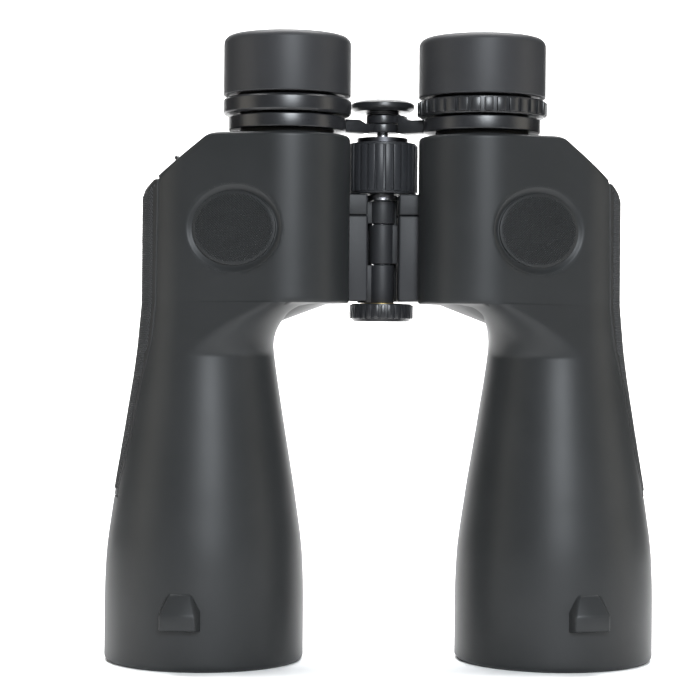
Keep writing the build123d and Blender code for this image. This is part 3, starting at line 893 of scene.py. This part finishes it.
toothed("FocusWheelGrip", wheelBase(), hinge, wheel, "wheel_rubber", "focus_wheel", "wheel_grip")
toothed("DioptreRing", dioptreBase(), eye, dioptre, "satin_black", "right_dioptre", "right_dioptre_ring")
toothed("TripodCover", coverBase(), hinge, cover, "satin_black", "tripod_cover", "tripod_cap")


def carrier(name, spots, finish, sign):
    # loose points that each carry the direction their stud stands in
    mesh = bpy.data.meshes.new(name)
    mesh.from_pydata([(p[0] * mm * sign, p[1] * mm, p[2] * mm) for p, n in spots], [], [])
    outward = mesh.attributes.new("outward", "FLOAT_VECTOR", "POINT")
    outward.data.foreach_set("vector", [c for p, n in spots for c in (n[0] * sign, n[1], n[2])])
    mesh.materials.append(finish)
    piece = bpy.data.objects.new(name, mesh)
    bpy.context.scene.collection.objects.link(piece)
    return piece


def studObject(name, radius, height, finish):
    # a four-sided pimple with a flattened top
    rows = [(radius, -0.15), (radius * 0.95, 0.0), (radius * 0.42, height), (0.01, height * 1.12)]
    turns = [math.pi / 2 * k for k in range(4)]
    points = [(r * math.cos(t), r * math.sin(t), z) for r, z in rows for t in turns]
    faces = [(i * 4 + k, i * 4 + (k + 1) % 4, i * 4 + 4 + (k + 1) % 4, i * 4 + 4 + k)
             for i in range(3) for k in range(4)]
    faces += [(3, 2, 1, 0), (12, 13, 14, 15)]
    return meshObject(name, (points, faces), finish, sharp=25)


padStuds = {"pitch": 0.86, "radius": 0.40, "height": 0.17, "uneven": 0.12, "seed": 5}
gripStuds = {"pitch": 1.25, "radius": 0.60, "height": 0.34, "uneven": 0.10, "seed": 9}


def padSpots():
    spots, step = [], padStuds["pitch"]
    rows = int(pad["high"] / step * 2) + 2
    for i in range(-rows, rows + 1):
        for j in range(-rows, rows + 1):
            dx, dz = (j + (i % 2) / 2) * step, i * step / 2
            if math.hypot(dx / (pad["wide"] - 0.9), dz / (pad["high"] - 0.9)) < 1:
                x = pad["x"] + dx
                spots.append(((x, nearSide(x), pad["z"] + dz), (facing.x, facing.y, 0)))
    return spots


def gripSpots():
    spots, step = [], gripStuds["pitch"]
    low, high = panel["low"] + 3.0, 159.0
    for i in range(int((high - low) / step * 2)):
        z = low + i * step / 2
        reach = barrelRadius(z)
        edge = borderAngle(z) * reach - 2.2
        count = int(edge / step)
        for j in range(-count, count + 1):
            angle = (j + (i % 2) / 2) * step / reach
            if abs(angle * reach) > edge:
                continue
            r = outlineReach(z, np.array([angle]))[0]
            r1 = outlineReach(z + 0.4, np.array([angle]))[0]
            lean = math.atan2(r - r1, 0.4)
            if objective.x + r * math.cos(angle) > shoulderX(z) - 3.0:
                continue
            normal = (math.cos(angle) * math.cos(lean), math.sin(angle) * math.cos(lean), math.sin(lean))
            r += panel["proud"]
            place = (objective.x + r * math.cos(angle), objective.y + r * math.sin(angle), z)
            spots.append((place, normal))
    return spots


padPlaces, gripPlaces = padSpots(), gripSpots()
for name, sign in sides.items():
    for label, places, look, finish in (("PadStipple", padPlaces, padStuds, "armour_rubber"),
                                        ("GripStipple", gripPlaces, gripStuds, "grip_rubber")):
        stud = studObject(name + label + "Stud", look["radius"], look["height"], finishes[finish])
        piece = carrier(name + label, places, finishes[finish], sign)
        grown(piece, studs, {"Stud": stud, "Unevenness": look["uneven"], "Seed": look["seed"],
                             "Material": finishes[finish]}, stud)
        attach(piece, name + "_half")
print("ribs and studs made:", len(padPlaces), "and", len(gripPlaces), "studs a side")

# bridge, hinge and small parts

bridge = {"low": 177.0, "ring": 19.5, "ringLow": 176.6, "ringHigh": 181.0, "half": 4.4, "knuckle": 5.6,
          "thick": 4.3, "lowerNeck": 2.6, "upperNeck": 6.3, "lowerSpan": (177.4, 180.3),
          "upperSpan": (180.5, 183.3)}


def armShape(lower):
    # ring round the eyepiece, the bar to the spindle with its upswept end, and the knuckle
    b = bridge
    toHinge = Vector((hinge.x - eye.x, hinge.y - eye.y))
    reach = toHinge.length
    band = ring(b["ring"], 15.55, b["ringLow"], b["ringHigh"], eye, 0.45)
    end = reach - 6.5
    thick, neck = b["thick"], b["lowerNeck"] if lower else b["upperNeck"]
    side = [(b["ring"] - 2.5, 0), (end, 0), (end, neck)]
    for k in range(6):
        turn = math.pi / 2 * k / 5
        side.append((end - 0.4 - 3.2 * math.sin(turn), neck + (thick - neck) * math.sin(turn)))
    side.append((b["ring"] - 2.5, thick))
    half = b["half"]
    points = [(x, -half, z) for x, z in side] + [(x, half, z) for x, z in side]
    count = len(side)
    faces = [tuple(range(count)), tuple(range(2 * count - 1, count - 1, -1))]
    faces += [(i, i + count, (i + 1) % count + count, (i + 1) % count) for i in range(count)]
    mesh = bmesh.new()
    verts = [mesh.verts.new(p) for p in points]
    for f in faces:
        mesh.faces.new([verts[i] for i in f])
    bmesh.ops.recalc_face_normals(mesh, faces=mesh.faces[:])
    sharpEdges = [e for e in mesh.edges if e.calc_face_angle(0) > 0.6]
    bmesh.ops.bevel(mesh, geom=sharpEdges, offset=0.35, segments=2, profile=0.5, affect="EDGES",
                    clamp_overlap=True)
    bar = fromBmesh(mesh)
    turn = Matrix.Rotation(math.atan2(toHinge.y, toHinge.x), 4, "Z")
    place = Matrix.Translation((eye.x, eye.y, b["low"])) @ turn
    low, high = b["lowerSpan"] if lower else b["upperSpan"]
    knuckle = ring(b["knuckle"], 1.95 if not lower else 1.85, low, high, hinge, 0.35, 64)
    under, over = low - b["low"] + 0.15, high - b["low"] - 0.15
    link = softBlock((reach - 8.0, -3.0, under), (reach - 4.6, 3.0, over), 0.2)
    return merged(band, moved(bar, place), knuckle, moved(link, place))


lug = {"front": 9.0, "back": 6.2, "inner": 5.2, "root": 15.0, "low": 120.5, "break": 149.2, "high": 156.4,
       "lip": 3.0, "bore": 2.95, "knuckle": 4.3}
hood = {"bore": 30.5, "outer": 31.6, "tail": 31.0, "retainer": 10.8, "glass": 13.0, "clear": 28.2, "end": 24.5}
knuckles = {"left": [(119.9, 132.85), (146.75, 154.4)], "right": [(133.15, 146.45)]}


def lugShape(spans):
    # the two strips of one half's hinge and its knuckles
    rail, back = hinge.y - lug["front"], hinge.y + lug["back"]
    inner, root, low, gap, high = lug["inner"], lug["root"], lug["low"], lug["break"], lug["high"]
    shapes = [softBlock((inner, rail, low), (root, back, gap), 0.7),
              softBlock((inner + 0.1, rail + 0.1, gap + 0.2), (root, back, high), 0.6),
              softBlock((lug["lip"], back - 1.5, low), (9.0, back, high), 0.3)]
    for low, high in spans:
        corners = [(lug["bore"], low), (lug["knuckle"], low), (lug["knuckle"], high), (lug["bore"], high)]
        shapes.append(turned(rounded(corners, [0.1, 0.45, 0.45, 0.1], 3), hinge, 64))
        shapes.append(softBlock((3.2, hinge.y - 2.4, low + 0.1), (8.0, hinge.y + 2.4, high - 0.1), 0.25))
    return merged(*shapes)


def hoodShape():
    # the painted bore behind the rubber rim, stepped down to the glass
    bore, end, tail = hood["bore"], hood["end"], hood["tail"]
    outline = [(hood["outer"], form["hem"]), (bore, form["hem"]), (bore, 10.9), (bore, end), (tail, end),
               (tail, hood["glass"])]
    return turned(outline, objective, 128)


def retainerShape():
    outer, low, high, clear = hood["bore"] - 0.05, hood["retainer"], hood["glass"], hood["clear"]
    outline = [(outer, low), (outer, high), (clear, high), (clear, 12.4), (28.9, 11.6), (28.9, low)]
    return turned(rounded(outline, [0.1, 0.1, 0.1, 0.2, 0.1, 0.2], 2), objective, 128)


def capShape():
    low, high = floorOf("spindle_cap"), topOf("spindle_cap")
    wide = lowHigh("spindle_cap")[1].x
    under = low + 1.0
    corners = [(poleR, low), (5.6, low), (5.6, under), (wide - 1.4, under), (wide, under + 1.1),
               (wide, high - 1.5), (wide - 2.2, high - 0.5), (poleR, high)]
    return turned(rounded(corners, [0, 0.2, 0.8, 0.5, 0.5, 0.8, 1.4, 0], 5), hinge, 112)


def collarShape():
    low, high = floorOf("left_collar"), topOf("left_collar")
    corners = [(15.5, low), (20.6, low), (21.3, low + 0.7), (21.3, high - 0.8), (20.7, high), (15.5, high)]
    return turned(rounded(corners, [0.1, 0.25, 0.3, 0.3, 0.25, 0.1], 3), eye, 128)


for name, sign in sides.items():
    home = name + "_half"
    arm = "left_ocular" if name == "left" else "right_bridge"
    addPiece(name + "BridgeArm", armShape(name == "left"), "bridge_enamel", arm, [name + "_bridge_arm"], sign)
    addPiece(name + "HingeLugs", lugShape(knuckles[name]), "casting_paint", home, [name + "_casting"], sign)
    addPiece(name + "HoodBore", hoodShape(), "casting_paint", home, [name + "_barrel"], sign, "inner_black")
    addPiece(name + "GlassRetainer", retainerShape(), "inner_black", home, [name + "_objective_ring"], sign)
addPiece("SpindleCap", capShape(), "satin_black", "left_ocular", ["spindle_cap"])
addPiece("LeftCollar", collarShape(), "satin_black", "left_ocular", ["left_collar"], sides["left"])
print("bridge, hinge and hood made")

# studio

studio = {"distance": 0.712, "yaw": -2.6, "height": 0.109, "aimX": -10.5, "lens": 18.9, "roll": 0.45,
          "shift": -0.021, "air": 0.06, "halfFloor": 0.62}


def buildStudio():
    floorMaterial = Shader("paleFloor")
    tone = floorMaterial.ramp(floorMaterial.noise(6.0, 2.0), 0.2, 0.8, 0.0, 1.0)
    floorMaterial.set(Base_Color=floorMaterial.blendColours(tone, (0.93, 0.93, 0.93), (0.95, 0.95, 0.95)),
                      Roughness=0.9)
    points, faces = [], []
    path = [(-0.35, 0.0), (0.55, 0.0)]
    path += [(0.55 + 0.5 * math.sin(t), 0.5 - 0.5 * math.cos(t)) for t in np.linspace(0.1, math.pi / 2, 14)]
    path += [(1.05, 2.2)]
    for y, z in path:
        points += [(-studio["halfFloor"], y, z), (studio["halfFloor"], y, z)]
    faces = [(2 * i, 2 * i + 1, 2 * i + 3, 2 * i + 2) for i in range(len(path) - 1)]
    mesh = bpy.data.meshes.new("sweepFloor")
    mesh.from_pydata(points, [], faces)
    mesh.shade_smooth()
    mesh.materials.append(floorMaterial.material)
    floor = bpy.data.objects.new("sweepFloor", mesh)
    bpy.context.scene.collection.objects.link(floor)
    world = bpy.data.worlds.new("studioAir")
    bpy.context.scene.world = world
    world.use_nodes = True
    world.node_tree.nodes["Background"].inputs["Color"].default_value = (1.0, 0.98, 0.95, 1)
    world.node_tree.nodes["Background"].inputs["Strength"].default_value = studio["air"]
    bpy.context.scene.view_settings.view_transform = "Standard"


def softLight(name, place, target, size, power, colour=(1, 1, 1)):
    light = bpy.data.lights.new(name, "AREA")
    light.shape, light.size, light.size_y = "RECTANGLE", size[0], size[1]
    light.energy, light.color = power, colour
    lamp = bpy.data.objects.new(name, light)
    lamp.location = place
    lamp.rotation_euler = (Vector(target) - Vector(place)).to_track_quat("-Z", "Y").to_euler()
    bpy.context.scene.collection.objects.link(lamp)


def placeCamera():
    s = studio
    target = Vector((s["aimX"] * mm, hinge.y * mm, s["height"]))
    yaw = math.radians(s["yaw"])
    camera = bpy.data.cameras.new("productCamera")
    camera.angle = math.radians(s["lens"])
    camera.shift_y = s["shift"]
    camera.clip_start = 0.05
    holder = bpy.data.objects.new("productCamera", camera)
    holder.location = target + Vector((math.sin(yaw), -math.cos(yaw), 0)) * s["distance"]
    aim = (target - holder.location).to_track_quat("-Z", "Y").to_matrix().to_4x4()
    holder.rotation_euler = (aim @ Matrix.Rotation(math.radians(s["roll"]), 4, "Z")).to_euler()
    bpy.context.scene.collection.objects.link(holder)
    bpy.context.scene.camera = holder


buildStudio()
softLight("keyAboveCamera", (0.10, -1.1, 0.55), (0, 0, 0.11), (0.42, 0.42), 19, (0.90, 0.95, 1.0))
softLight("leftWall", (-1.2, -0.25, 0.30), (0, 0, 0.1), (0.7, 0.9), 4, (1.0, 0.94, 0.82))
softLight("rightWall", (1.2, -0.25, 0.30), (0, 0, 0.1), (0.7, 0.9), 4, (1.0, 0.94, 0.82))
softLight("backWash", (0, 0.3, 1.6), (0, 1.05, 0.25), (1.6, 0.5), 52)
softLight("floorWash", (0, 0.22, 1.3), (0, 0.20, 0.0), (1.2, 0.5), 14)
placeCamera()
print("studio set")
